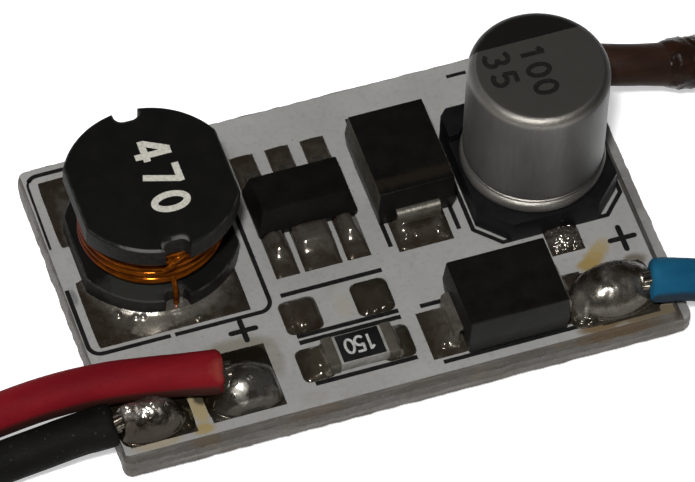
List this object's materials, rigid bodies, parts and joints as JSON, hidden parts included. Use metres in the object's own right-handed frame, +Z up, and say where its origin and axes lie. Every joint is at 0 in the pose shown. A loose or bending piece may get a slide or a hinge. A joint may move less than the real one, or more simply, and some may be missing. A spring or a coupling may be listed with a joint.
{
  "type": "led driver",
  "caption": "Small constant-current driver board for LEDs: metal-core plate with a drum choke, a can capacitor, diodes and soldered pigtail leads.",
  "frame": {"origin": "middle of the board's flat back face, on the surface it stands on", "axes": "+X along the board's long side, from the LED leads to the supply leads; +Y from the resistor's edge to the edge behind the inductor; +Z up, out of the component side"},
  "size_m": [0.0839, 0.0181, 0.0096],
  "materials": {
    "plate": "satin",
    "white_coat": "satin",
    "tinned": "satin",
    "ferrite": "matte",
    "copper": "gloss",
    "solder": "satin",
    "can": "satin",
    "base": "matte",
    "moulding": "matte",
    "resistor": "matte",
    "glaze": "satin",
    "red": "satin",
    "black": "satin",
    "blue": "satin",
    "brown": "satin"
  },
  "bodies": {
    "root": {"board_plate": "plate", "white_coat": "white_coat", "tinned_pads": "tinned", "inductor_drum": "ferrite", "inductor_winding": "copper", "inductor_tails": "copper", "inductor_terminals": "tinned", "inductor_solder": "solder", "capacitor_can": "can", "capacitor_base": "base", "capacitor_terminals": "tinned", "capacitor_solder": "solder", "chip_body": "moulding", "chip_leads": "tinned", "chip_solder": "solder", "catch_diode_body": "moulding", "catch_diode_leads": "tinned", "catch_diode_solder": "solder", "input_diode_body": "moulding", "input_diode_leads": "tinned", "input_diode_solder": "solder", "resistor_body": "resistor", "resistor_glaze": "glaze", "resistor_caps": "tinned", "resistor_solder": "solder", "spare_pad_solder": "solder", "led_plus_solder": "solder", "led_minus_solder": "solder", "input_plus_solder": "solder", "input_minus_solder": "solder", "red_lead": "red", "black_lead": "black", "blue_lead": "blue", "brown_lead": "brown", "red_lead_ends": "tinned", "black_lead_ends": "tinned", "blue_lead_ends": "tinned", "brown_lead_ends": "tinned"}
  },
  "joints": []
}
